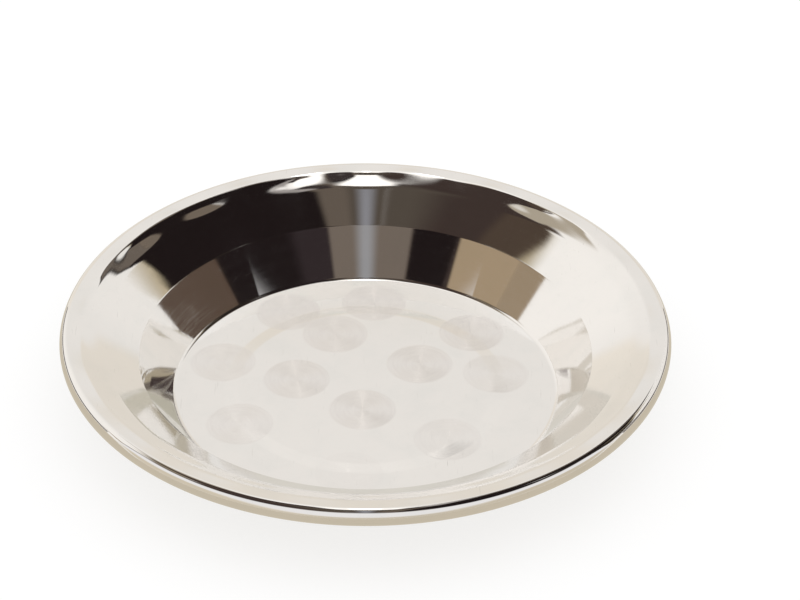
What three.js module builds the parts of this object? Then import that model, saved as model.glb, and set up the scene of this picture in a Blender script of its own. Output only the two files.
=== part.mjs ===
// Deep dinner plate of polished steel: a pressed dish whose edge is rolled over a stiffening wire.
// Millimetres, +Z up. The origin is the plate's centre on the surface that it stands on.
import * as THREE from 'three';

// Driving dimensions. Runs are measured across the plate, rises are measured up.
const RIM_DIAMETER = 254; // over the rolled edge
const SHEET = 0.7; // thickness of the pressed sheet
const SKIRT_RUN = 1.12; // steep band between the rolled edge and the flange
const SKIRT_FALL = 2.3;
const FLANGE_RUN = 6.9; // nearly level flange between the skirt and the shoulder
const FLANGE_RISE = 0.56;
const BROW_RUN = 7.2; // flatter top of the wall, just inside the shoulder
const BROW_RISE = 2.8;
const UPPER_WALL_RUN = 16.2; // shallow wall between the brow and the crease
const UPPER_WALL_RISE = 10.3;
const LOWER_WALL_RUN = 14.1; // steep wall between the crease and the well
const LOWER_WALL_RISE = 19.6;
const STAND_WIDTH = 21.2; // flat ring that the plate stands on, just inside the lower wall
const PANEL_RAMP_RUN = 6; // gentle step up to the middle of the base
const PANEL_RISE = 0.5;

// Bend radii, measured on the middle of the sheet.
const EDGE_BEND = 2.4; // between the flange and the skirt
const SHOULDER_BEND = 4.5; // between the brow and the flange
const BROW_BEND = 20; // between the upper wall and the brow
const CREASE_BEND = 0.8;
const WELL_BEND = 2.5;
const RAMP_BEND = 12;

// Stiffening wire and the edge that is rolled around it.
const WIRE_DIAMETER = 6;
const WIRE_CLEARANCE = 0.3; // all round the wire
const WIRE_END_GAP = 1; // between the wire's two butted ends
const LIP_GAP = 0.5; // between the rolled edge's lip and the underside of the flange

// Fineness of the facets.
const SIDES = 64; // facets round the plate
const WIRE_SIDES = 10; // facets round the wire's own section
const BEND_STEP = THREE.MathUtils.degToRad(15);
const ROLL_STEP = THREE.MathUtils.degToRad(20);
const BEND_SHARE = 0.7; // most of a straight run that one bend may use up

// Values that follow from the sizes above.
const wireRadius = WIRE_DIAMETER / 2;
const rollRadius = wireRadius + WIRE_CLEARANCE + SHEET / 2;
const flangeSlope = Math.atan2(FLANGE_RISE, FLANGE_RUN);
const skirtSlope = -Math.atan2(SKIRT_FALL, SKIRT_RUN);
const wireRingRadius = RIM_DIAMETER / 2 - SHEET / 2 - rollRadius;

// Corners of the middle of the sheet, as radius and height, from the rolled edge inwards.
const skirtEnd = wireRingRadius - rollRadius * Math.sin(skirtSlope);
const edge = skirtEnd - SKIRT_RUN;
const shoulder = edge - FLANGE_RUN;
const brow = shoulder - BROW_RUN;
const crease = brow - UPPER_WALL_RUN;
const wellEdge = crease - LOWER_WALL_RUN;
const rampFoot = wellEdge - STAND_WIDTH;
const rampTop = rampFoot - PANEL_RAMP_RUN;
const standHeight = SHEET / 2;
const panelHeight = standHeight + PANEL_RISE;
const creaseHeight = standHeight + LOWER_WALL_RISE;
const browHeight = creaseHeight + UPPER_WALL_RISE;
const shoulderHeight = browHeight + BROW_RISE;
const edgeHeight = shoulderHeight + FLANGE_RISE;
const skirtEndHeight = edgeHeight - SKIRT_FALL;
const wireHeight = skirtEndHeight - rollRadius * Math.cos(skirtSlope);

const corners = [
  { at: new THREE.Vector2(0, panelHeight), bend: 0 },
  { at: new THREE.Vector2(rampTop, panelHeight), bend: RAMP_BEND },
  { at: new THREE.Vector2(rampFoot, standHeight), bend: RAMP_BEND },
  { at: new THREE.Vector2(wellEdge, standHeight), bend: WELL_BEND },
  { at: new THREE.Vector2(crease, creaseHeight), bend: CREASE_BEND },
  { at: new THREE.Vector2(brow, browHeight), bend: BROW_BEND },
  { at: new THREE.Vector2(shoulder, shoulderHeight), bend: SHOULDER_BEND },
  { at: new THREE.Vector2(edge, edgeHeight), bend: EDGE_BEND },
  { at: new THREE.Vector2(skirtEnd, skirtEndHeight), bend: 0 },
];

// The upward normal of the sheet where it runs along a heading.
function upFrom(heading) {
  return new THREE.Vector2(-Math.sin(heading), Math.cos(heading));
}

// Stations along an arc that starts at a point with a heading and turns through an angle.
function arcStations(start, heading, turn, radius, largestStep) {
  const steps = Math.max(1, Math.ceil(Math.abs(turn) / largestStep));
  const side = Math.sign(turn);
  const centre = start.clone().addScaledVector(upFrom(heading), side * radius);
  return Array.from({ length: steps + 1 }, (_, i) => {
    const up = upFrom(heading + (turn * i) / steps);
    return { at: centre.clone().addScaledVector(up, -side * radius), up };
  });
}

// Stations of one corner of the sheet, rounded by its bend and limited by the runs beside it.
function cornerStations(before, corner, after) {
  const runIn = corner.at.clone().sub(before.at);
  const runOut = after.at.clone().sub(corner.at);
  const turn = runOut.angle() - runIn.angle();
  const signedTurn = Math.atan2(Math.sin(turn), Math.cos(turn));
  const halfTangent = Math.tan(Math.abs(signedTurn) / 2);
  const longestReach = BEND_SHARE * Math.min(runIn.length(), runOut.length());
  const reach = Math.min(corner.bend * halfTangent, longestReach);
  const start = corner.at.clone().addScaledVector(runIn.clone().normalize(), -reach);
  return arcStations(start, runIn.angle(), signedTurn, reach / halfTangent, BEND_STEP);
}

// Stations of the rolled edge, which carries on from the skirt round the wire until its lip nears the flange.
function rollStations() {
  const wireToEdge = new THREE.Vector2(edge - wireRingRadius, edgeHeight - wireHeight);
  const roomUnderFlange = wireToEdge.dot(upFrom(flangeSlope)) - SHEET / 2 - LIP_GAP;
  const openAngle = Math.acos(roomUnderFlange / (rollRadius + SHEET / 2));
  const turn = flangeSlope - skirtSlope + openAngle - 2 * Math.PI;
  return arcStations(corners.at(-1).at, skirtSlope, turn, rollRadius, ROLL_STEP);
}

// Turns a closed outline of radius and height round the vertical axis.
function turned(outline) {
  return new THREE.LatheGeometry(outline, SIDES).rotateX(Math.PI / 2);
}

// The sheet's outline runs out along the underside and back along the top.
function dishGeometry() {
  const middle = { at: corners[0].at, up: upFrom(0) };
  const inner = corners.slice(1, -1);
  const bends = inner.flatMap((corner, i) => cornerStations(corners[i], corner, corners[i + 2]));
  const stations = [middle, ...bends, ...rollStations()];
  const offset = (distance) => ({ at, up }) => at.clone().addScaledVector(up, distance);
  const underside = stations.map(offset(-SHEET / 2));
  const top = stations.map(offset(SHEET / 2));
  return turned([...underside, ...top.reverse()]);
}

// The wire's middle line: almost a full circle, with its two ends butted a small gap apart.
class WireLine extends THREE.Curve {
  getPoint(t, target = new THREE.Vector3()) {
    const gapAngle = WIRE_END_GAP / wireRingRadius;
    const angle = gapAngle / 2 + t * (2 * Math.PI - gapAngle);
    return target.set(wireRingRadius * Math.cos(angle), wireRingRadius * Math.sin(angle), wireHeight);
  }
}

function wireGeometry() {
  const section = new THREE.Shape(
    Array.from({ length: WIRE_SIDES }, (_, i) => {
      const angle = (2 * Math.PI * i) / WIRE_SIDES;
      return new THREE.Vector2(wireRadius * Math.cos(angle), wireRadius * Math.sin(angle));
    }),
  );
  return new THREE.ExtrudeGeometry(section, { steps: SIDES, extrudePath: new WireLine() });
}

function piece(name, geometry, material) {
  const mesh = new THREE.Mesh(geometry, material);
  mesh.name = name;
  return mesh;
}

const polishedSteel = new THREE.MeshStandardMaterial({ color: 0xd8d5cf, roughness: 0.08, metalness: 1 });
const drawnWire = new THREE.MeshStandardMaterial({ color: 0xa9a7a2, roughness: 0.4, metalness: 1 });

const plate = new THREE.Group();
plate.add(piece('dish', dishGeometry(), polishedSteel));
plate.add(piece('rim_wire', wireGeometry(), drawnWire));

export default plate;
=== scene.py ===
import math

import bpy
from mathutils import Matrix, Vector


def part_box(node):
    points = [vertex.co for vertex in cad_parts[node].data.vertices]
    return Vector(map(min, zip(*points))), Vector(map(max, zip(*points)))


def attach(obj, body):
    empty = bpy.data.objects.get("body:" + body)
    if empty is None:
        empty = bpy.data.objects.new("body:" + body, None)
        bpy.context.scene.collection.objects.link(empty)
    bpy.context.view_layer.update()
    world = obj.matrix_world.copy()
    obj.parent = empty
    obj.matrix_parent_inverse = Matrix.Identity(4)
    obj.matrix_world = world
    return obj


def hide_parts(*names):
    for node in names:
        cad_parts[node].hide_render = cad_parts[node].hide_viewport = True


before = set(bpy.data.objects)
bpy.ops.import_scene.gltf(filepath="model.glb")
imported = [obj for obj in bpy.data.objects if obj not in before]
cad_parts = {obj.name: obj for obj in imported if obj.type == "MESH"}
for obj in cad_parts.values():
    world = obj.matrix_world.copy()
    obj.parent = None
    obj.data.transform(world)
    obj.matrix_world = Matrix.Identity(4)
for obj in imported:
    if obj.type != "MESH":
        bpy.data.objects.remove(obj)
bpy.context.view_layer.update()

# The looks of a deep dinner plate of polished steel: a pressed dish whose edge is rolled over a wire.
# Metres, +Z up, the viewer on the -Y side. Angles are radians unless a comment or a name says degrees.
MM = 0.001

# Sizes of the pressed sheet's section, measured as on the solids.
SHEET = 0.7 * MM
SKIRT_RUN = 1.12 * MM
SKIRT_FALL = 2.3 * MM
FLANGE_RUN = 6.9 * MM
FLANGE_RISE = 0.56 * MM
BROW_RUN = 7.2 * MM
BROW_RISE = 2.8 * MM
UPPER_WALL_RUN = 16.2 * MM
UPPER_WALL_RISE = 10.3 * MM
LOWER_WALL_RUN = 14.1 * MM
LOWER_WALL_RISE = 19.6 * MM
STAND_WIDTH = 21.2 * MM
PANEL_RAMP_RUN = 6 * MM
PANEL_RISE = 0.5 * MM
EDGE_BEND = 2.4 * MM
SHOULDER_BEND = 4.5 * MM
BROW_BEND = 20 * MM
CREASE_BEND = 0.8 * MM
WELL_BEND = 2.5 * MM
RAMP_BEND = 12 * MM
BEND_SHARE = 0.7
WIRE_DIAMETER = 6 * MM
WIRE_CLEARANCE = 0.3 * MM
WIRE_END_GAP = 1 * MM
LIP_GAP = 0.5 * MM

# Fineness of the meshes.
SIDES = 384
BEND_STEP = math.radians(3)
ROLL_STEP = math.radians(5)
SHOULDER_STEP = 0.8 * MM
LIP_STEPS = 6
WIRE_SIDES = 24

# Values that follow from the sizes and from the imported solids.
rim_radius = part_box("dish")[1].x
roll_radius = WIRE_DIAMETER / 2 + WIRE_CLEARANCE + SHEET / 2
flange_slope = math.atan2(FLANGE_RISE, FLANGE_RUN)
skirt_slope = -math.atan2(SKIRT_FALL, SKIRT_RUN)
wire_ring_radius = rim_radius - SHEET / 2 - roll_radius
skirt_end = wire_ring_radius - roll_radius * math.sin(skirt_slope)
edge = skirt_end - SKIRT_RUN
shoulder = edge - FLANGE_RUN
brow = shoulder - BROW_RUN
crease = brow - UPPER_WALL_RUN
well_edge = crease - LOWER_WALL_RUN
ramp_foot = well_edge - STAND_WIDTH
ramp_top = ramp_foot - PANEL_RAMP_RUN
stand_height = SHEET / 2
crease_height = stand_height + LOWER_WALL_RISE
brow_height = crease_height + UPPER_WALL_RISE
shoulder_height = brow_height + BROW_RISE
edge_height = shoulder_height + FLANGE_RISE
skirt_end_height = edge_height - SKIRT_FALL
wire_height = skirt_end_height - roll_radius * math.cos(skirt_slope)

# Engine-turned spots of the well, in millimetres seen from above: the centre of each and how strongly it is
# turned. Then the size of the turning pad, and the share of it that its soft edge takes.
SPOTS = [
    (-33.6, 54.5, 1.0), (3.5, 61.8, 1.0), (-13.2, 37.8, 1.0), (45.7, 39.1, 1.0),
    (23.0, 15.7, 1.0), (55.2, 9.0, 0.65), (-60.8, 17.3, 0.75), (-29.2, 4.6, 1.0),
    (-1.3, -16.9, 1.0), (-52.2, -26.5, 0.75), (33.8, -37.0, 0.6), (-6.5, -60.0, 0.3),
]
SPOT_RADIUS = 13.9 * MM
SPOT_EDGE = 0.06

# Ripples that the pressing left at the shoulder: dents, as azimuth in degrees from +X and depth in
# millimetres, with a bulge where the depth is negative, and a ridge between each dent and the next.
SHOULDER_DENTS = [
    (10, 0), (31.5, -0.25), (51, 0.45), (71, 0), (90, 0.3), (108, 0.35),
    (128.5, 0.4), (148, 0.45), (168, -0.25), (189.5, 0.2), (209.5, 0.2), (229.5, 0.2),
    (250, 0.2), (271, 0.25), (292.5, 0.2), (312.5, 0.2), (330.5, 0.2), (348.5, 0.1),
]
DENT_RADIUS = 116.2 * MM
DENT_INSIDE = 6.6 * MM
DENT_OUTSIDE = 2.3 * MM
RIDGE_HEIGHT = 0.5 * MM
RIDGE_RADIUS = 118.3 * MM
RIDGE_INSIDE = 7.5 * MM
RIDGE_OUTSIDE = 6.3 * MM
RIDGE_ROUNDING = 0.1
RIDGE_POWER = 1.3
# The ridges are lower towards the front: their mean share of the full height, and its change to the back.
RIDGE_MEAN = 0.65
RIDGE_CHANGE = 0.35


def hump(share):
    """A smooth hump: 1 in the middle, 0 from 1 outwards."""
    return math.cos(math.pi / 2 * min(1, abs(share))) ** 2


def tent(share):
    """A hump with nearly straight sides."""
    return max(0, 1 - math.hypot(share, RIDGE_ROUNDING)) ** RIDGE_POWER


def one_sided(distance, inside, outside):
    """A distance from a ripple's middle as a share of its width on that side."""
    return distance / (outside if distance > 0 else inside)


def ripple(radius, azimuth):
    """How far the shoulder's ripples raise the sheet at a place."""
    dent = hump(one_sided(radius - DENT_RADIUS, DENT_INSIDE, DENT_OUTSIDE))
    ridge = tent(one_sided(radius - RIDGE_RADIUS, RIDGE_INSIDE, RIDGE_OUTSIDE))
    if dent == 0 and ridge == 0:
        return 0.0
    degrees = math.degrees(azimuth)
    lowered = 0.0
    dented = 0.0
    for i, (middle, depth) in enumerate(SHOULDER_DENTS):
        last = SHOULDER_DENTS[i - 1][0]
        following = SHOULDER_DENTS[(i + 1) % len(SHOULDER_DENTS)][0]
        away = (degrees - middle + 180) % 360 - 180
        share = hump(one_sided(away, (middle - last) % 360 / 2, (following - middle) % 360 / 2))
        lowered += depth * MM * share * dent
        dented += share
    calmed = RIDGE_MEAN + RIDGE_CHANGE * math.sin(azimuth)
    return RIDGE_HEIGHT * calmed * (1 - dented) * ridge - lowered


def up_from(heading):
    """The upward normal of the sheet where its section runs along a heading."""
    return Vector((-math.sin(heading), math.cos(heading)))


def arc_stations(start, heading, turn, radius, largest_step):
    """Points with normals along an arc that starts at a point with a heading and turns through an angle."""
    steps = max(1, math.ceil(abs(turn) / largest_step))
    side = math.copysign(1, turn)
    centre = start + side * radius * up_from(heading)
    ups = [up_from(heading + turn * i / steps) for i in range(steps + 1)]
    return [(centre - side * radius * up, up) for up in ups]


def corner_stations(before, corner, after, bend):
    """The stations of one corner of the section, rounded by its bend."""
    run_in = corner - before
    run_out = after - corner
    heading = math.atan2(run_in.y, run_in.x)
    turn = math.atan2(run_out.y, run_out.x) - heading
    half_tangent = math.tan(abs(turn) / 2)
    reach = min(bend * half_tangent, BEND_SHARE * min(run_in.length, run_out.length))
    start = corner - run_in.normalized() * reach
    radius = reach / half_tangent
    return arc_stations(start, heading, turn, radius, min(BEND_STEP, SHOULDER_STEP / radius))


def split_runs(stations):
    """Adds stations along the straight runs near the shoulder, so that its dents have points to move."""
    split = [stations[0]]
    for (at, up), (next_at, next_up) in zip(stations, stations[1:]):
        dented = next_at.x > DENT_RADIUS - DENT_INSIDE and at.x < RIDGE_RADIUS + RIDGE_OUTSIDE
        pieces = math.ceil((next_at - at).length / SHOULDER_STEP) if dented else 1
        for i in range(1, pieces + 1):
            share = i / pieces
            split.append((at.lerp(next_at, share), up.lerp(next_up, share).normalized()))
    return split


def section_stations():
    """The middle of the sheet from the axis to the lip of the rolled edge."""
    corners = [
        (Vector((0, stand_height + PANEL_RISE)), 0),
        (Vector((ramp_top, stand_height + PANEL_RISE)), RAMP_BEND),
        (Vector((ramp_foot, stand_height)), RAMP_BEND),
        (Vector((well_edge, stand_height)), WELL_BEND),
        (Vector((crease, crease_height)), CREASE_BEND),
        (Vector((brow, brow_height)), BROW_BEND),
        (Vector((shoulder, shoulder_height)), SHOULDER_BEND),
        (Vector((edge, edge_height)), EDGE_BEND),
        (Vector((skirt_end, skirt_end_height)), 0),
    ]
    stations = [(corners[0][0], up_from(0))]
    for (before, _), (corner, bend), (after, _) in zip(corners, corners[1:], corners[2:]):
        stations += corner_stations(before, corner, after, bend)
    stations = split_runs(stations)
    wire_to_edge = Vector((edge - wire_ring_radius, edge_height - wire_height))
    room_under_flange = wire_to_edge.dot(up_from(flange_slope)) - SHEET / 2 - LIP_GAP
    open_angle = math.acos(room_under_flange / (roll_radius + SHEET / 2))
    turn = flange_slope - skirt_slope + open_angle - 2 * math.pi
    return stations + arc_stations(corners[-1][0], skirt_slope, turn, roll_radius, ROLL_STEP)


def lip_points(at, up):
    """A half-round over the sheet's cut edge, from the underside to the top."""
    out = Vector((up.y, -up.x))
    angles = [math.pi * i / LIP_STEPS for i in range(1, LIP_STEPS)]
    return [at + SHEET / 2 * (out * math.sin(a) - up * math.cos(a)) for a in angles]


def dish_mesh():
    """The pressed sheet: a closed section of underside, lip and top, turned round the axis."""
    stations = section_stations()
    underside = [at - up * SHEET / 2 for at, up in stations]
    top = [at + up * SHEET / 2 for at, up in stations]
    outline = underside + lip_points(*stations[-1]) + top[::-1]
    inner = outline[1:-1]
    vertices = [(0, 0, outline[0].y), (0, 0, outline[-1].y)]
    for i in range(SIDES):
        azimuth = 2 * math.pi * i / SIDES
        for point in inner:
            height = point.y + ripple(point.x, azimuth)
            vertices.append((point.x * math.cos(azimuth), point.x * math.sin(azimuth), height))
    faces = []
    count = len(inner)
    for i in range(SIDES):
        here = 2 + i * count
        there = 2 + (i + 1) % SIDES * count
        faces.append((0, there, here))
        for k in range(count - 1):
            faces.append((here + k, there + k, there + k + 1, here + k + 1))
        faces.append((1, here + count - 1, there + count - 1))
    return vertices, faces


def wire_mesh():
    """The round stiffening wire: almost a full ring, with its two ends butted a small gap apart."""
    gap_angle = WIRE_END_GAP / wire_ring_radius
    rings = SIDES + 1
    vertices = []
    for i in range(rings):
        azimuth = gap_angle / 2 + (2 * math.pi - gap_angle) * i / SIDES
        for k in range(WIRE_SIDES):
            angle = 2 * math.pi * k / WIRE_SIDES
            radius = wire_ring_radius + WIRE_DIAMETER / 2 * math.cos(angle)
            height = wire_height + WIRE_DIAMETER / 2 * math.sin(angle)
            vertices.append((radius * math.cos(azimuth), radius * math.sin(azimuth), height))
    faces = [tuple(range(WIRE_SIDES)), tuple(reversed(range(SIDES * WIRE_SIDES, rings * WIRE_SIDES)))]
    for i in range(SIDES):
        for k in range(WIRE_SIDES):
            a = i * WIRE_SIDES + k
            b = i * WIRE_SIDES + (k + 1) % WIRE_SIDES
            faces.append((a, a + WIRE_SIDES, b + WIRE_SIDES, b))
    return vertices, faces


def mesh_object(name, vertices, faces, material):
    """A smooth-shaded mesh object in the scene."""
    mesh = bpy.data.meshes.new(name)
    mesh.from_pydata(vertices, [], faces)
    mesh.validate()
    mesh.shade_smooth()
    mesh.materials.append(material)
    made = bpy.data.objects.new(name, mesh)
    bpy.context.scene.collection.objects.link(made)
    return made


def add_node(tree, kind, inputs=None, **settings):
    """One shader node. inputs maps a socket's name or number to a value or to another node's output."""
    made = tree.nodes.new("ShaderNode" + kind)
    for name, value in settings.items():
        setattr(made, name, value)
    for name, value in (inputs or {}).items():
        if isinstance(value, bpy.types.NodeSocket):
            tree.links.new(value, made.inputs[name])
        else:
            made.inputs[name].default_value = value
    return made


def maths(tree, operation, first, second=0.0):
    """The output of a Math node."""
    return add_node(tree, "Math", {0: first, 1: second}, operation=operation).outputs[0]


def vector_maths(tree, operation, first, second=(0, 0, 0)):
    """The vector output of a Vector Math node."""
    return add_node(tree, "VectorMath", {0: first, 1: second}, operation=operation).outputs["Vector"]


def smooth_step(tree, value, low, high, to_low=0.0, to_high=1.0):
    """A smooth change from one value to another while the input goes from low to high."""
    inputs = {"Value": value, "From Min": low, "From Max": high, "To Min": to_low, "To Max": to_high}
    return add_node(tree, "MapRange", inputs, interpolation_type="SMOOTHSTEP").outputs["Result"]


def new_material(name):
    """An empty node material, with its tree and output node."""
    material = bpy.data.materials.new(name)
    material.use_nodes = True
    material.node_tree.nodes.clear()
    output = add_node(material.node_tree, "OutputMaterial")
    return material, material.node_tree, output


def noise(tree, vector, scale, detail):
    """The value of a noise texture, about 0.5 on average."""
    inputs = {"Vector": vector, "Scale": scale, "Detail": detail, "Roughness": NOISE_ROUGHNESS}
    return add_node(tree, "TexNoise", inputs).outputs[0]


def mixed_colour(tree, share, first, second):
    """A colour between two others."""
    return add_node(tree, "Mix", {0: share, 6: first, 7: second}, data_type="RGBA").outputs[2]


def bump(tree, height, distance, normal=None):
    """A normal tilted by a height map that spans a distance."""
    inputs = {"Height": height, "Strength": 1.0, "Distance": distance}
    if normal is not None:
        inputs["Normal"] = normal
    return add_node(tree, "Bump", inputs).outputs[0]


def turned_lines(tree, from_centre, height):
    """Fine lines round a centre: noise that changes fast outwards and upwards, and slowly round it."""
    away = add_node(tree, "VectorMath", {0: from_centre}, operation="LENGTH").outputs["Value"]
    along = vector_maths(tree, "NORMALIZE", from_centre)
    slow = vector_maths(tree, "MULTIPLY", along, (LINE_BREAKS, LINE_BREAKS, 0))
    fast = maths(tree, "MULTIPLY", maths(tree, "ADD", away, height), 1 / LINE_PITCH)
    line = vector_maths(tree, "ADD", slow, add_node(tree, "CombineXYZ", {2: fast}).outputs[0])
    return noise(tree, line, scale=1.0, detail=3.0)


def scratches(tree, place, turn, pitch, share):
    """Thin straight scratches along one direction, where stretched noise peaks."""
    rotation = (0, 0, math.radians(turn))
    scale = [stretch / pitch for stretch in SCRATCH_STRETCH]
    mapping = {"Vector": place, "Rotation": rotation, "Scale": scale}
    stretched = add_node(tree, "Mapping", mapping).outputs[0]
    streaks = noise(tree, stretched, scale=1.0, detail=1.0)
    return smooth_step(tree, streaks, 1 - share, 1 - share + SCRATCH_EDGE)


# Finish of the polished sheet.
STEEL_COLOUR = (0.79, 0.753, 0.708, 1)
STAINED_COLOUR = (0.765, 0.735, 0.692, 1)
SPOT_COLOUR = (0.732, 0.688, 0.65, 1)
SCRATCH_COLOUR = (0.7, 0.665, 0.62, 1)
POLISHED_ROUGHNESS = 0.04
SMUDGED_ROUGHNESS = 0.07
SPOT_ROUGHNESS = 0.155
SCRATCH_ROUGHNESS = 0.1
LINE_ROUGHNESS = 0.012
BRUSHING = 0.95
NOISE_ROUGHNESS = 0.6
SMUDGE_SCALE = 26
SMUDGE_RANGE = (0.52, 0.72)
STAIN_SCALE = 60
STAIN_RANGE = (0.4, 0.75)
# Range of the noise that the turned lines use, and the least share of a spot's colour between its lines.
LINE_RANGE = (0.3, 0.7)
SPOT_FAINTEST = 0.4
LINE_PITCH = 0.6 * MM
LINE_BREAKS = 1.2
LINE_DEPTH = 0.002 * MM
WAVE_LENGTH = 30 * MM
WAVE_DEPTH = 0.02 * MM
# Heights between which the spots fade in, so that the underside has none.
TOP_SIDE = (0.6 * MM, 0.65 * MM)
# Scratches, as a direction in degrees, a pitch and the share of the noise that shows, and how they stretch.
SCRATCHES = [(24, 0.35 * MM, 0.24), (-51, 0.3 * MM, 0.23), (83, 0.4 * MM, 0.24)]
SCRATCH_STRETCH = (1, 0.025, 0.3)
SCRATCH_EDGE = 0.03


def polished_steel():
    """Mirror-polished sheet with fine turning lines, smudges and scratches, and a well with turned spots."""
    material, tree, output = new_material("polished_steel")
    place = add_node(tree, "TexCoord").outputs["Object"]
    flat = vector_maths(tree, "MULTIPLY", place, (1, 1, 0))
    from_centre = flat
    spots = 0.0
    for x, y, strength in SPOTS:
        from_spot = vector_maths(tree, "SUBTRACT", flat, (x * MM, y * MM, 0))
        distance = add_node(tree, "VectorMath", {0: from_spot}, operation="LENGTH").outputs["Value"]
        inside = smooth_step(tree, distance, SPOT_RADIUS * (1 + SPOT_EDGE), SPOT_RADIUS * (1 - SPOT_EDGE))
        mix = add_node(tree, "Mix", {0: inside, 4: from_centre, 5: from_spot}, data_type="VECTOR")
        from_centre = mix.outputs[1]
        spots = maths(tree, "MAXIMUM", spots, maths(tree, "MULTIPLY", inside, strength))
    height = add_node(tree, "SeparateXYZ", {0: place}).outputs["Z"]
    on_top = smooth_step(tree, height, *TOP_SIDE)
    spots = maths(tree, "MULTIPLY", spots, on_top)
    lines = turned_lines(tree, from_centre, height)
    smudges = smooth_step(tree, noise(tree, place, SMUDGE_SCALE, detail=5.0), *SMUDGE_RANGE)
    stains = smooth_step(tree, noise(tree, place, STAIN_SCALE, detail=3.0), *STAIN_RANGE)
    scratched = 0.0
    for turn, pitch, share in SCRATCHES:
        scratched = maths(tree, "MAXIMUM", scratched, scratches(tree, place, turn, pitch, share))

    colour = mixed_colour(tree, stains, STEEL_COLOUR, STAINED_COLOUR)
    line_share = smooth_step(tree, lines, *LINE_RANGE, SPOT_FAINTEST, 1.0)
    colour = mixed_colour(tree, maths(tree, "MULTIPLY", spots, line_share), colour, SPOT_COLOUR)
    colour = mixed_colour(tree, scratched, colour, SCRATCH_COLOUR)
    roughness = smooth_step(tree, smudges, 0, 1, POLISHED_ROUGHNESS, SMUDGED_ROUGHNESS)
    lined = smooth_step(tree, lines, *LINE_RANGE, -LINE_ROUGHNESS, LINE_ROUGHNESS)
    turned = smooth_step(tree, spots, 0, 1, 0, SPOT_ROUGHNESS - POLISHED_ROUGHNESS)
    worn = maths(tree, "MULTIPLY", scratched, SCRATCH_ROUGHNESS)
    for extra in (lined, turned, worn):
        roughness = maths(tree, "ADD", roughness, extra)
    waved = bump(tree, noise(tree, place, 1 / WAVE_LENGTH, detail=1.0), WAVE_DEPTH)
    normal = bump(tree, lines, LINE_DEPTH, waved)
    shader = add_node(tree, "BsdfPrincipled", {
        "Base Color": colour,
        "Metallic": 1.0,
        "Roughness": roughness,
        "Anisotropic": BRUSHING,
        "Tangent": vector_maths(tree, "NORMALIZE", from_centre),
        "Normal": normal,
    })
    tree.links.new(shader.outputs[0], output.inputs["Surface"])
    return material


# Finish of the wire: bright and dull patches, and lines along it.
WIRE_COLOUR = (0.58, 0.565, 0.54, 1)
DULL_WIRE_COLOUR = (0.5, 0.48, 0.45, 1)
WIRE_ROUGHNESS = 0.32
DULL_WIRE_ROUGHNESS = 0.5
WIRE_LINE_ROUGHNESS = 0.1
WIRE_LINE_DEPTH = 0.01 * MM
DULL_SCALE = 90
DULL_RANGE = (0.4, 0.65)


def steel_wire():
    """Drawn wire with fine lines along it and dull patches."""
    material, tree, output = new_material("steel_wire")
    place = add_node(tree, "TexCoord").outputs["Object"]
    flat = vector_maths(tree, "MULTIPLY", place, (1, 1, 0))
    height = add_node(tree, "SeparateXYZ", {0: place}).outputs["Z"]
    lines = turned_lines(tree, flat, height)
    dull = smooth_step(tree, noise(tree, place, DULL_SCALE, detail=4.0), *DULL_RANGE)
    patchy = smooth_step(tree, dull, 0, 1, WIRE_ROUGHNESS, DULL_WIRE_ROUGHNESS)
    lined = maths(tree, "MULTIPLY", lines, WIRE_LINE_ROUGHNESS)
    shader = add_node(tree, "BsdfPrincipled", {
        "Base Color": mixed_colour(tree, dull, WIRE_COLOUR, DULL_WIRE_COLOUR),
        "Metallic": 1.0,
        "Roughness": maths(tree, "ADD", patchy, lined),
        "Normal": bump(tree, lines, WIRE_LINE_DEPTH),
    })
    tree.links.new(shader.outputs[0], output.inputs["Surface"])
    return material


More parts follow.
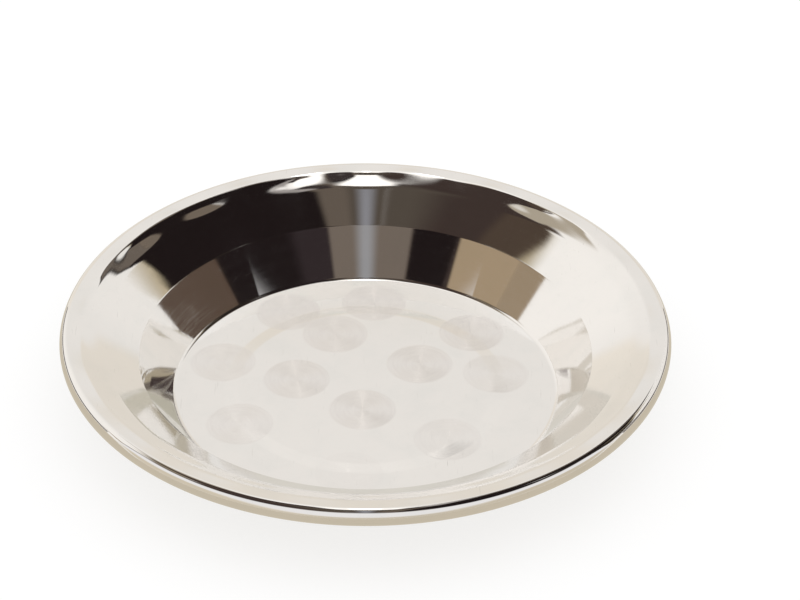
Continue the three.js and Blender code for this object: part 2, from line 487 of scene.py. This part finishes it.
# Studio cards overhead, from the highest to the lowest: name, middle, size, turn in degrees, colour and the
# softness of the edges. Places, sizes and softness are metres across for each metre up.
CARD_HEIGHT = 2.0
CARD_STEP = 0.005
BLACK = (0.015, 0.0105, 0.011)
TAN = (0.44, 0.345, 0.235)
BROWN = (0.057, 0.041, 0.037)
RUSSET = (0.088, 0.064, 0.049)
GREY = (0.10, 0.084, 0.07)
FRINGE = (0.55, 0.48, 0.34)
CARDS = [
    ("glow", (0.0, 0.6), (0.5, 0.7), 0, (1.2, 1.2, 1.2), 0.1),
    ("near_base", (0.35, -1.4), (3.3, 1.7), 0, BROWN, 0.1),
    ("fill_left", (1.4, 0.0), (1.6, 1.5), 0, (0.03, 0.025, 0.02), 0.1),
    ("fill_right", (-1.35, -0.08), (1.3, 0.6), 0, RUSSET, 0.1),
    ("fringe_right", (-0.68, 0.16), (0.36, 0.62), 0, FRINGE, 0.16),
    ("grey_rim", (0.41, 0.845), (0.55, 0.48), 43, (0.03, 0.025, 0.022), 0.05),
    ("grey_far", (0.485, 0.855), (0.35, 0.49), 43, (0.17, 0.145, 0.125), 0.05),
    ("grey_mid", (0.29, 0.63), (0.39, 0.43), 43, (0.2, 0.165, 0.135), 0.05),
    ("fringe_left", (1.01, 0.68), (0.6, 0.62), 43, FRINGE, 0.2),
    ("brown_panel", (3.55, 1.25), (4.55, 0.7), 45.7, (0.115, 0.081, 0.062), 0.06),
    ("black_near", (1.2, -0.76), (1.9, 0.66), 27.6, BLACK, 0.08),
    ("black_end", (0.86, 0.51), (0.55, 0.33), 43, BLACK, 0.06),
    ("black_far", (0.45, 0.32), (1.19, 0.62), 43, BLACK, 0.06),
    ("black_between", (0.5, -0.6), (0.8, 1.3), 0, BLACK, 0.06),
    ("tan_far", (-0.325, 0.57), (0.37, 0.46), 0, (0.5, 0.45, 0.37), 0.08),
    ("brown_side", (-0.555, -0.1), (0.31, 1.04), 0, RUSSET, 0.06),
    ("brown_tip", (-0.5, 0.36), (0.2, 0.36), 0, RUSSET, 0.06),
    ("brown_far", (-0.28, -0.06), (0.44, 1.08), 0, BROWN, 0.05),
    ("brown_between", (-0.64, -0.55), (1.0, 0.9), 0, BROWN, 0.06),
    ("tan_end", (-2.33, 0.13), (1.2, 0.7), 139, (0.38, 0.3, 0.21), 0.1),
    ("tan_panel", (-1.555, -0.505), (1.22, 0.7), 144, TAN, 0.06),
    ("black_patch", (-0.8, -1.4), (0.6, 1.5), 0, BLACK, 0.06),
    ("black_low", (0.6, -0.95), (0.7, 0.9), 0, (0.036, 0.027, 0.03), 0.2),
    ("middle_right", (-0.12, -0.45), (0.4, 1.4), 0, GREY, 0.18),
    ("middle", (0.045, -0.45), (0.25, 1.4), 0, GREY, 0.03),
    ("middle_left", (0.11, -0.45), (0.14, 1.4), 0, (0.145, 0.12, 0.1), 0.04),
    ("middle_near", (-0.05, -1.5), (1.0, 1.6), 0, (0.2, 0.168, 0.145), 0.06),
    ("strip", (0, -0.45), (0.1, 0.9), 0, (0.29, 0.3, 0.34), 0.05),
    ("strip_near", (0, -1.4), (0.34, 1.6), 0, (0.36, 0.37, 0.4), 0.16),
    ("lamp_side", (0.15, 0.3), (0.12, 0.44), 0, (0.4, 0.38, 0.38), 0.05),
    ("lamp", (0.0, 0.345), (0.18, 0.39), 0, (1.5, 1.5, 1.5), 0.03),
    ("lamp_bar", (0.11, 0.2), (0.05, 0.26), 0, (0.05, 0.04, 0.04), 0.015),
    ("lamp_strip", (0.0, 0.56), (0.05, 0.42), 0, (5.0, 5.0, 5.0), 0.015),
]
# The same for cards that show only where the plate mirrors itself. Each ends with the least number of times
# that the metal has mirrored what shows it.
DEEP_CARDS = [
    ("deep_side", (0.75, 1.0), (0.6, 0.9), 0, (0.8, 0.8, 0.74), 0.15, 2),
    ("deep_olive", (1.42, 0.55), (0.5, 0.2), 30, (0.57, 0.54, 0.45), 0.06, 2),
    ("deep_right", (-1.75, 1.9), (2.5, 2.8), 0, (0.97, 0.97, 0.95), 0.12, 2),
    ("deep_far", (0, 1.9), (2.2, 1.5), 0, (0.92, 0.93, 0.91), 0.2, 2),
    ("deep_low", (1.1, 2.85), (1.5, 1.9), 0, (0.66, 0.66, 0.59), 0.15, 2),
    ("deep_edge", (-1.47, 0.26), (0.34, 0.4), 0, (0.65, 0.65, 0.7), 0.08, 3),
    ("deep_near", (0, -1.0), (1.5, 1.0), 0, (0.3, 0.28, 0.27), 0.2, 2),
    ("deep_grey", (1.3, 0.85), (0.8, 1.7), 20, (0.62, 0.58, 0.48), 0.1, 3),
    ("deep_tan", (0.95, 1.1), (0.4, 0.9), 20, (0.25, 0.23, 0.215), 0.1, 3),
    ("deep_brown", (1.12, 0.5), (0.42, 1.1), 0, (0.085, 0.066, 0.07), 0.06, 3),
]
MOST_MIRRORINGS = 9
# A warm table in front of the plate, just above the floor.
TABLE_MIDDLE = (0, -0.7, 0.0001)
TABLE_SIZE = (3.0, 2.0)
TABLE_COLOUR = (0.69, 0.636, 0.53)
TABLE_SOFTNESS = 0.1


def mirrored_times(tree, least, most):
    """1 for reflections that the metal has mirrored a number of times in a range, and 0 for others."""
    mirrored = add_node(tree, "LightPath").outputs["Glossy Depth"]
    enough = maths(tree, "GREATER_THAN", mirrored, least - 0.5)
    not_too_many = maths(tree, "LESS_THAN", mirrored, most + 0.5)
    return maths(tree, "MULTIPLY", enough, not_too_many)


def glow_where(tree, output, shown, colour):
    """Makes a material glow where it is shown and clear elsewhere."""
    clear = add_node(tree, "BsdfTransparent").outputs[0]
    glow = add_node(tree, "Emission", {"Color": (*colour, 1), "Strength": 1.0}).outputs[0]
    mix = add_node(tree, "MixShader", {0: shown, 1: clear, 2: glow})
    tree.links.new(mix.outputs[0], output.inputs["Surface"])


def leave_to_reflections(made):
    """Hides a piece of the studio from all but reflections."""
    made.visible_camera = False
    made.visible_diffuse = False
    made.visible_shadow = False


def card(name, middle, size, turn, colour, softness, mirrorings):
    """A flat studio card with soft edges, shown by reflections with a number of mirrorings in a range."""
    material, tree, output = new_material(name)
    x, y = size[0] / 2, size[1] / 2
    place = add_node(tree, "TexCoord").outputs["Object"]
    away = vector_maths(tree, "ABSOLUTE", place)
    inset = vector_maths(tree, "SUBTRACT", (x, y, 0), away)
    parts = add_node(tree, "SeparateXYZ", {0: inset})
    nearest = maths(tree, "MINIMUM", parts.outputs["X"], parts.outputs["Y"])
    soft = smooth_step(tree, nearest, 0, softness)
    shown = maths(tree, "MULTIPLY", soft, mirrored_times(tree, *mirrorings))
    glow_where(tree, output, shown, colour)
    made = mesh_object(name, [(-x, -y, 0), (x, -y, 0), (x, y, 0), (-x, y, 0)], [(0, 1, 2, 3)], material)
    made.location = middle
    made.rotation_euler.z = math.radians(turn)
    leave_to_reflections(made)


# Low screens round the plate, which mainly its rim mirrors: the azimuths of both ends in degrees, the
# distance from the axis, the heights of the bottom and top edges, the colour, and the top edge's softness.
SCREENS = [
    ("front_screen", (195, 345), 0.27, (0.06, 0.22), (1.0, 1.02, 1.07), 0.06),
    ("left_screen", (160, 205), 0.16, (0.034, 0.047), (0.12, 0.1, 0.09), 0.008),
    ("right_screen", (335, 380), 0.16, (0.034, 0.047), (0.12, 0.1, 0.09), 0.008),
]
SCREEN_STEP = 5


def screen(name, ends, radius, heights, colour, softness):
    """A curved screen that stands round a part of the plate and shows only in single reflections."""
    material, tree, output = new_material(name)
    place = add_node(tree, "TexCoord").outputs["Object"]
    height = add_node(tree, "SeparateXYZ", {0: place}).outputs["Z"]
    below_top = smooth_step(tree, height, heights[1], heights[1] - softness)
    shown = maths(tree, "MULTIPLY", below_top, mirrored_times(tree, 0, 1))
    glow_where(tree, output, shown, colour)
    angles = [math.radians(degrees) for degrees in range(ends[0], ends[1] + 1, SCREEN_STEP)]
    vertices = [(radius * math.cos(a), radius * math.sin(a), z) for a in angles for z in heights]
    faces = [(2 * i, 2 * i + 2, 2 * i + 3, 2 * i + 1) for i in range(len(angles) - 1)]
    made = mesh_object(name, vertices, faces, material)
    leave_to_reflections(made)


WHITE = (1, 1, 1, 1)
FLOOR_HALF_SIZE = 6.0
FLOOR_COLOUR = (0.3, 0.3, 0.3, 1)
FLOOR_GLOW = 0.73


def floor():
    """A plain white floor that keeps the plate's soft shadow."""
    material, tree, output = new_material("floor_white")
    diffuse = add_node(tree, "BsdfDiffuse", {"Color": FLOOR_COLOUR}).outputs[0]
    glow = add_node(tree, "Emission", {"Color": WHITE, "Strength": FLOOR_GLOW}).outputs[0]
    both = add_node(tree, "AddShader", {0: diffuse, 1: glow}).outputs[0]
    tree.links.new(both, output.inputs["Surface"])
    half = FLOOR_HALF_SIZE
    corners = [(-half, -half, 0), (half, -half, 0), (half, half, 0), (-half, half, 0)]
    made = mesh_object("floor", corners, [(0, 1, 2, 3)], material)


# The room's light as the metal mirrors it once, twice and more often. Directions are parts of a unit vector.
FAR_LIGHT = (0.97, 0.935, 0.875, 1)
TWICE_LIGHT = (1.16, 1.19, 1.23, 1)
DEEP_LIGHT = (1.27, 1.33, 1.42, 1)
# Range of Y in which the far side dims, and the strengths at its ends. Then the range in which it gets warm.
DIM_RANGE = (0.7, 0.95)
DIM_STRENGTHS = (1.02, 0.93)
WARM_RANGE = (0.815, 0.87)
# Range of X in which the left side gets brighter, and by how much.
LEFT_RANGE = (0, -0.6)
LEFT_EXTRA = 0.1
# Ranges of Z and Y in which the low front takes the table's colour.
LOW_RANGE = (0.22, 0.14)
FRONT_RANGE = (0.1, -0.1)


def white_room():
    """A white world. What the metal mirrors of it once is a little darker and warmer far off, as warm as the
    table low in front, and brighter on the left. It is brighter where the plate mirrors itself."""
    world = bpy.data.worlds.new("white_room")
    bpy.context.scene.world = world
    world.use_nodes = True
    tree = world.node_tree
    tree.nodes.clear()
    direction = add_node(tree, "TexCoord").outputs["Generated"]
    parts = add_node(tree, "SeparateXYZ", {0: direction})
    path = add_node(tree, "LightPath")
    far_strength = smooth_step(tree, parts.outputs["Y"], *DIM_RANGE, *DIM_STRENGTHS)
    left_strength = smooth_step(tree, parts.outputs["X"], *LEFT_RANGE, 0, LEFT_EXTRA)
    mirrored = maths(tree, "ADD", far_strength, left_strength)
    strength = add_node(tree, "Mix", {0: path.outputs["Is Glossy Ray"], 2: 1.0, 3: mirrored}).outputs[0]

    far = smooth_step(tree, parts.outputs["Y"], *WARM_RANGE)
    front = smooth_step(tree, parts.outputs["Y"], *FRONT_RANGE)
    low_front = maths(tree, "MULTIPLY", front, smooth_step(tree, parts.outputs["Z"], *LOW_RANGE))
    once = mirrored_times(tree, 1, 1)
    twice_or_more = mirrored_times(tree, 2, MOST_MIRRORINGS)
    more_than_twice = mirrored_times(tree, 3, MOST_MIRRORINGS)
    colour = mixed_colour(tree, maths(tree, "MULTIPLY", far, once), WHITE, FAR_LIGHT)
    colour = mixed_colour(tree, maths(tree, "MULTIPLY", low_front, once), colour, (*TABLE_COLOUR, 1))
    colour = mixed_colour(tree, twice_or_more, colour, TWICE_LIGHT)
    colour = mixed_colour(tree, more_than_twice, colour, DEEP_LIGHT)
    background = add_node(tree, "Background", {"Color": colour, "Strength": strength})
    add_node(tree, "OutputWorld", {"Surface": background.outputs[0]})


def studio():
    """A white room with a floor, low screens, cards overhead that the plate mirrors, and a warm table."""
    white_room()
    floor()
    for entry in SCREENS:
        screen(*entry)
    cards = [(entry, (1, 1)) for entry in CARDS]
    cards += [(entry[:-1], (entry[-1], MOST_MIRRORINGS)) for entry in DEEP_CARDS]
    for i, ((name, (x, y), (width, length), turn, colour, softness), mirrorings) in enumerate(cards):
        up = CARD_HEIGHT - i * CARD_STEP
        middle = (x * up, y * up, up)
        size = (width * up, length * up)
        card("card_" + name, middle, size, turn, colour, softness * up, mirrorings)
    always = (1, MOST_MIRRORINGS)
    card("card_table", TABLE_MIDDLE, TABLE_SIZE, 0, TABLE_COLOUR, TABLE_SOFTNESS, always)


# The camera's place and aim, found from the photo's circles. The aim is a little off the plate's middle.
CAMERA_DISTANCE = 1.27
CAMERA_ELEVATION = math.radians(36.28)
CAMERA_PITCH = math.radians(34.628)
CAMERA_YAW = math.radians(0.791)
CAMERA_ROLL = math.radians(0.557)
CAMERA_LENS = 135.4
SENSOR_WIDTH = 36


def camera():
    """A long lens at the photo's angle."""
    data = bpy.data.cameras.new("camera")
    data.lens = CAMERA_LENS
    data.sensor_width = SENSOR_WIDTH
    made = bpy.data.objects.new("camera", data)
    back = -CAMERA_DISTANCE * math.cos(CAMERA_ELEVATION)
    height = CAMERA_DISTANCE * math.sin(CAMERA_ELEVATION) + SHEET
    forward = Vector((
        math.sin(CAMERA_YAW) * math.cos(CAMERA_PITCH),
        math.cos(CAMERA_YAW) * math.cos(CAMERA_PITCH),
        -math.sin(CAMERA_PITCH),
    ))
    level = Vector((math.cos(CAMERA_YAW), -math.sin(CAMERA_YAW), 0))
    above = level.cross(forward)
    right = level * math.cos(CAMERA_ROLL) + above * math.sin(CAMERA_ROLL)
    up = above * math.cos(CAMERA_ROLL) - level * math.sin(CAMERA_ROLL)
    turned = Matrix((right, up, -forward)).transposed().to_4x4()
    made.matrix_world = Matrix.Translation((0, back, height)) @ turned
    bpy.context.scene.collection.objects.link(made)
    bpy.context.scene.camera = made


def plate():
    """The two pieces of the plate, standing for the two solids."""
    dish = mesh_object("plate_dish", *dish_mesh(), polished_steel())
    wire = mesh_object("plate_rim_wire", *wire_mesh(), steel_wire())
    for piece, node, slot in ((dish, "dish", "polished_steel"), (wire, "rim_wire", "steel_wire")):
        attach(piece, "root")
        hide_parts(node)


camera()
plate()
studio()
bpy.context.scene.view_settings.view_transform = "Standard"
